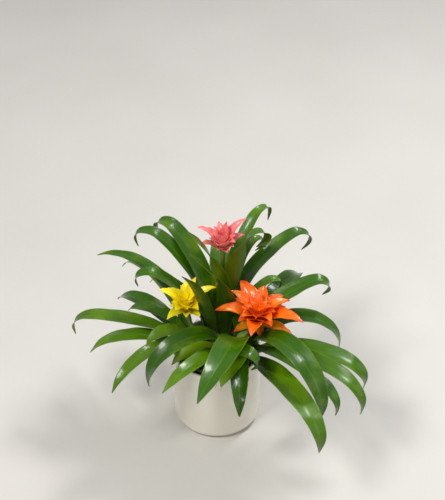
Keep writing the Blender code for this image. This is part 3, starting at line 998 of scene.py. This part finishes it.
@dataclass(frozen=True)
class Bract:
    """One bract: which way it faces, its size, and its slope at base, middle and tip, in degrees.

    `tone` runs from 0, the head's full colour, to 1, the greenish colour of the lowest bracts.
    """

    heading: float
    length: float
    width: float
    slopes: tuple[float, float, float]
    tone: float = 0.0


@dataclass(frozen=True)
class Whorl:
    """Bracts evenly round the flower head, one for each length, the first at heading `first` in degrees.

    A smaller bract stands in each gap, `filler_share` as long as the ones beside it and a little steeper.
    """

    first: float
    lengths: tuple[float, ...]
    width: float
    slopes: tuple[float, float, float]
    tone: float = 0.0
    filler_share: float = 0.68
    filler_width: float = 0.82
    filler_rise: float = 9.0

    def bracts(self) -> list[Bract]:
        """Lay out the whorl's own bracts, then those in its gaps.

        Returns:
            The bracts, in the order in which they are modelled.
        """
        spacing = 360 / len(self.lengths)
        own = [Bract(self.first + number * spacing, length, self.width, self.slopes, self.tone)
               for number, length in enumerate(self.lengths)]
        steeper = tuple(slope + self.filler_rise for slope in self.slopes)
        fillers = []
        for number, length in enumerate(self.lengths):
            beside = self.lengths[(number + 1) % len(self.lengths)]
            heading = self.first + (number + 0.5) * spacing
            shorter = (length + beside) / 2 * self.filler_share
            fillers.append(Bract(heading, shorter, self.width * self.filler_width, steeper, self.tone))
        return own + fillers


@dataclass
class FlowerHead:
    """A flower head: pointed bracts in whorls on the stalk's top."""

    plant: str
    slot: Slot
    whorls: dict[str, Whorl]
    palette: Palette
    hub_radius: float = 0.0045
    storey: float = 0.0081
    rise: float = 0.002
    widest: float = 0.42
    narrowest: float = 0.0007

    def rows(self, bract: Bract, base: Vector) -> list[Row]:
        """Lay out one bract's rows from the stalk's axis outwards."""
        steps = 24
        heading = math.radians(bract.heading)
        out = Vector((math.cos(heading), math.sin(heading), 0))
        side = Vector((math.sin(heading), -math.cos(heading), 0))
        point = base + out * self.hub_radius
        rows = []
        for k in range(steps + 1):
            share = k / steps
            slope = math.radians(between(list(bract.slopes), share))
            along = out * math.cos(slope) + Vector((0, 0, math.sin(slope)))
            rows.append(Row(point.copy(), side, side.cross(along), self.width(bract, share)))
            point += along * (bract.length / steps)
        return rows

    def width(self, bract: Bract, share: float) -> float:
        """Width at a share of the length: broad below the middle, drawn out to a point."""
        if share < self.widest:
            return bract.width * (0.42 + 0.58 * ease(share / self.widest))
        taper = min((share - self.widest) / 0.58, 1.0)
        return max(bract.width * (1 - taper ** 1.9) ** 0.95 * (1 - 0.18 * taper), self.narrowest)

    def build(self, stem: Stem) -> None:
        """Model every whorl and fix it to the frame."""
        for level, (name, whorl) in enumerate(self.whorls.items()):
            node = f"{self.plant}_bracts_{name}"
            base = Vector((stem.head.x, stem.head.y, stem.top + self.rise + level * self.storey))
            pieces = []
            for number, bract in enumerate(whorl.bracts()):
                blade = Blade(self.rows(bract, base), steps=20, across=8, cup=0.30, thickness=0.0010,
                              ripple=0.0022, seed=number + level * 7.0)
                pieces.append(blade.build(f"{node}_{number}", [self.palette.bracts[self.slot]], bract.tone))
            joined = join(pieces, f"{node}_whorl")
            settle(joined, [node])
        self.build_core(stem)

    def build_core(self, stem: Stem) -> None:
        """The short stalk that the whorls stand on, rounded at its top."""
        height = self.storey * len(self.whorls)
        deselect()
        bpy.ops.mesh.primitive_uv_sphere_add(segments=20, ring_count=12, radius=1.0)
        core = named(f"{self.plant}_head_core")
        core.scale = (self.hub_radius * 1.25, self.hub_radius * 1.25, height * 0.55)
        core.location = (stem.head.x, stem.head.y, stem.top + height * 0.45)
        apply_place(core)
        bpy.ops.object.shade_smooth()
        set_tone(core, 0.0)
        core.data.materials.append(self.palette.bracts[self.slot])
        settle(core, [])


ORANGE_WHORLS = {
    "lower": Whorl(-30, (0.060, 0.050, 0.045), 0.022, (25, 5, -15), tone=0.45),
    "outer": Whorl(-30, (0.090, 0.060, 0.080, 0.080, 0.075), 0.032, (50, 25, -15)),
    "middle": Whorl(6, (0.060, 0.055, 0.065, 0.045, 0.055), 0.026, (58, 38, -10)),
    "inner": Whorl(-30, (0.035, 0.035, 0.035), 0.017, (72, 55, 10)),
}
YELLOW_WHORLS = {
    "lower": Whorl(-45, (0.030, 0.040, 0.040, 0.045), 0.020, (40, 15, -30), tone=0.40),
    "outer": Whorl(20, (0.060, 0.045, 0.055, 0.035, 0.035), 0.021, (55, 35, -15)),
    "middle": Whorl(60, (0.045, 0.045, 0.025), 0.018, (70, 55, 20)),
}
PINK_WHORLS = {
    "lower": Whorl(20, (0.045, 0.040, 0.045, 0.025), 0.018, (55, 40, -30), tone=0.30),
    "outer": Whorl(30, (0.060, 0.040, 0.055, 0.025, 0.035), 0.019, (65, 50, 5)),
    "middle": Whorl(60, (0.035, 0.035, 0.025), 0.016, (82, 76, 62)),
}

# How olive or yellow a leaf is, from 0, deep green, to 1, yellow-green
LEAF_TONES = {
    "orange_leaf_01": 0.40, "orange_leaf_02": 0.25, "orange_leaf_10": 0.30, "orange_leaf_11": 0.60,
    "orange_leaf_12": 0.75, "orange_leaf_14": 0.62, "orange_leaf_15": 0.40, "orange_leaf_16": 0.95,
    "pink_leaf_04": 0.10, "pink_leaf_05": 0.55, "pink_leaf_10": 0.45, "pink_leaf_11": 0.12,
    "yellow_leaf_01": 0.60, "yellow_leaf_02": 0.65, "yellow_leaf_03": 0.60, "yellow_leaf_06": 0.45,
    "yellow_leaf_07": 0.60, "yellow_leaf_09": 0.70,
}


@dataclass
class Plant:
    """One bromeliad: stem, leaves and flower head."""

    name: str
    slot: Slot
    whorls: dict[str, Whorl]
    palette: Palette

    def __post_init__(self) -> None:
        """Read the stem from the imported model."""
        self.stem = Stem(self.name, self.palette)

    def build(self) -> None:
        """Model the whole plant."""
        self.stem.build()
        prefix = f"{self.name}_leaf_"
        for node in sorted(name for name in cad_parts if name.startswith(prefix)):
            tone = LEAF_TONES.get(node, random.Random(node).uniform(0.30, 0.60))
            Leaf(node, self.stem.crown, self.palette, tone).build()
        FlowerHead(self.name, self.slot, self.whorls, self.palette).build(self.stem)


def main() -> None:
    """Build the scene, piece by piece."""
    logging.basicConfig(level=logging.INFO, format="%(message)s")
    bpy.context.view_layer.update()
    Studio().build()
    palette = Palette()
    Pot(palette).build()
    plants = [
        Plant("pink", Slot.PINK, PINK_WHORLS, palette),
        Plant("orange", Slot.ORANGE, ORANGE_WHORLS, palette),
        Plant("yellow", Slot.YELLOW, YELLOW_WHORLS, palette),
    ]
    Filling(palette).build([plant.stem.crown for plant in plants])
    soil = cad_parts["soil"]
    soil.data.materials.clear()
    soil.data.materials.append(palette.soil)
    for plant in plants:
        plant.build()


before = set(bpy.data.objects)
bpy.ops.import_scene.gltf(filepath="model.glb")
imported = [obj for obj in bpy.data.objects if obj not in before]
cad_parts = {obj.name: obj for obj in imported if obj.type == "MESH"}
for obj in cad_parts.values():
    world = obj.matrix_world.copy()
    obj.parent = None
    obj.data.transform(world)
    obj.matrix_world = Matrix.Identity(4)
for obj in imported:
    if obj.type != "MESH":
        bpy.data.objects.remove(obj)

if __name__ == "__main__":
    main()
